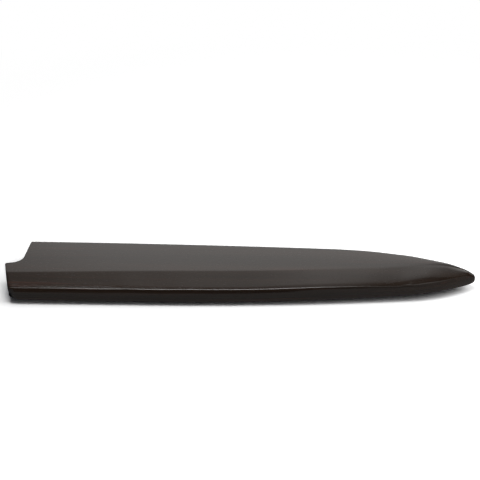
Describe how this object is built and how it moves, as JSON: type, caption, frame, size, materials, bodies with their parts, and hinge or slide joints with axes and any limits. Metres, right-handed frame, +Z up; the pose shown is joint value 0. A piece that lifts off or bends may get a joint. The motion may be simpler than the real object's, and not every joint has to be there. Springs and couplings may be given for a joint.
{
  "type": "knife blade guard",
  "caption": "Dark wooden sheath for a long slicing knife, with flat faces, a low bevel to the spine side, a stepped mouth and a blunt rounded nose; it slips over the blade.",
  "frame": {"origin": "on the surface that the sheath lies on, under the middle of its bounding box", "axes": "+X from the mouth to the nose, +Y from the spine side to the cutting-edge side, +Z up through the sheath as it lies on one broad side"},
  "size_m": [0.265, 0.05, 0.0142],
  "materials": {
    "ebony_face": "hand-rubbed satin, lengthwise grain, near-black with faint reddish streaks",
    "ebony_rail": "hand-rubbed satin, near-black",
    "ebony_plug": "sawn and lightly sanded",
    "magnet_plating": "bright nickel plating"
  },
  "bodies": {
    "root": {"upper_cheek": "ebony_face", "lower_cheek": "ebony_face", "spine_rail": "ebony_rail", "edge_rail": "ebony_rail", "tip_block": "ebony_rail", "magnet_1": "magnet_plating", "magnet_2": "magnet_plating", "magnet_3": "magnet_plating", "magnet_4": "magnet_plating", "magnet_5": "magnet_plating", "magnet_plug_1": "ebony_plug", "magnet_plug_2": "ebony_plug", "magnet_plug_3": "ebony_plug", "magnet_plug_4": "ebony_plug", "magnet_plug_5": "ebony_plug"}
  },
  "joints": []
}
